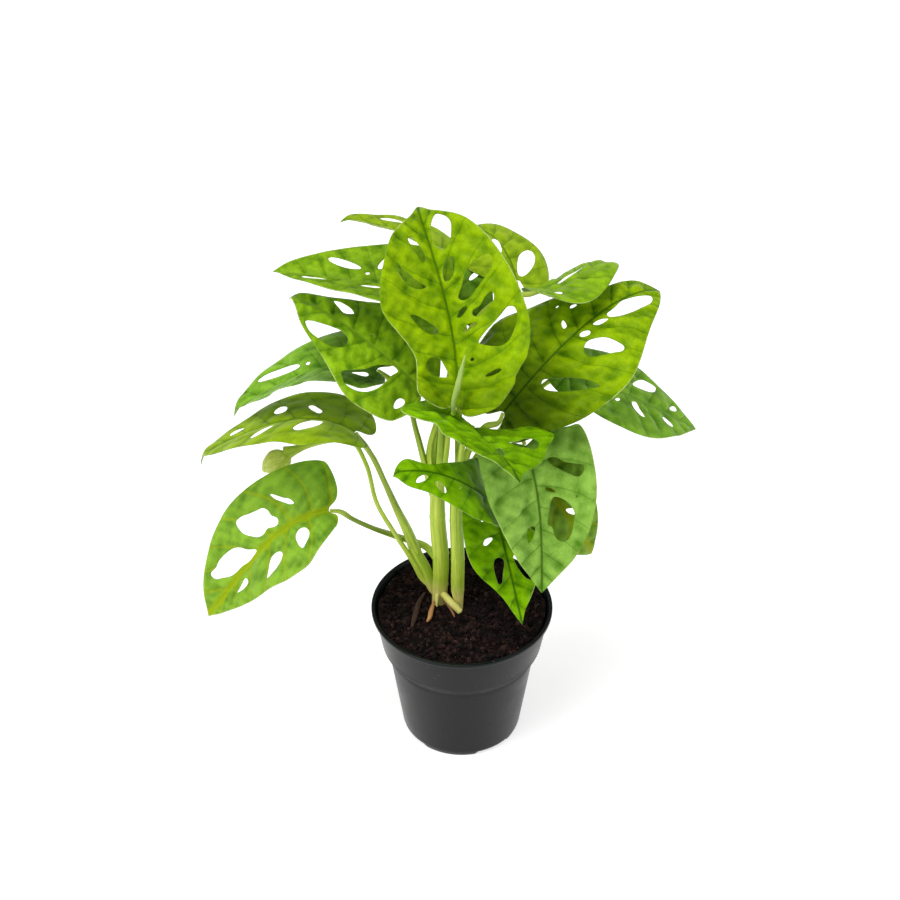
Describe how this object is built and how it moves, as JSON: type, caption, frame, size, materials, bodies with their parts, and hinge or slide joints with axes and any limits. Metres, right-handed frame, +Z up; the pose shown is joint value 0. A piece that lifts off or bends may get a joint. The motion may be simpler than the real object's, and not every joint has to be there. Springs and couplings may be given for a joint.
{
  "type": "monstera adansonii in a nursery pot",
  "caption": "Young monstera adansonii with holed heart-shaped leaves on long stalks, growing from dark soil in a round tapered black plastic nursery pot.",
  "frame": {"origin": "centre of the pot's base, on the surface it stands on", "axes": "+Z up along the pot's axis, -Y towards the viewer of the picture, +X to the viewer's right"},
  "size_m": [0.3215, 0.232, 0.367],
  "materials": {
    "pot": "thin moulded black plastic, satin",
    "soil": "moist peat and bark crumbs",
    "stem_main": "fleshy pale green stalks",
    "stem_second": "fleshy pale green stalks",
    "leaf_crown": "glossy green leaf blade",
    "leaf_back_right": "glossy green leaf blade",
    "leaf_behind_crown": "glossy green leaf blade",
    "leaf_back_top": "glossy green leaf blade",
    "leaf_upper_left": "glossy green leaf blade",
    "leaf_mid_left": "glossy green leaf blade",
    "leaf_rear_left": "glossy green leaf blade",
    "leaf_low_left": "glossy green leaf blade",
    "leaf_left_hanging": "glossy green leaf blade",
    "leaf_front_centre": "glossy green leaf blade",
    "leaf_front_right": "glossy green leaf blade",
    "leaf_front_low": "glossy green leaf blade",
    "leaf_right_behind": "glossy green leaf blade",
    "leaf_inner": "glossy green leaf blade",
    "leaf_right_large": "glossy green leaf blade",
    "leaf_right_folded": "glossy green leaf blade",
    "leaf_far_right": "glossy green leaf blade",
    "leaf_rolled": "pale unopened leaf",
    "bud": "pale green bud",
    "root_orange": "dull orange-brown root skin",
    "root_brown": "dull brown root skin"
  },
  "bodies": {
    "root": {"pot": "pot", "soil": "soil", "stem_main": "stem_main", "stem_second": "stem_second", "leaf_crown": "leaf_crown", "leaf_back_right": "leaf_back_right", "leaf_behind_crown": "leaf_behind_crown", "leaf_back_top": "leaf_back_top", "leaf_upper_left": "leaf_upper_left", "leaf_mid_left": "leaf_mid_left", "leaf_rear_left": "leaf_rear_left", "leaf_low_left": "leaf_low_left", "leaf_left_hanging": "leaf_left_hanging", "leaf_front_centre": "leaf_front_centre", "leaf_front_right": "leaf_front_right", "leaf_front_low": "leaf_front_low", "leaf_right_behind": "leaf_right_behind", "leaf_inner": "leaf_inner", "leaf_right_large": "leaf_right_large", "leaf_right_folded": "leaf_right_folded", "leaf_far_right": "leaf_far_right", "leaf_rolled": "leaf_rolled", "bud": "bud", "root_orange": "root_orange", "root_brown": "root_brown"}
  },
  "joints": []
}
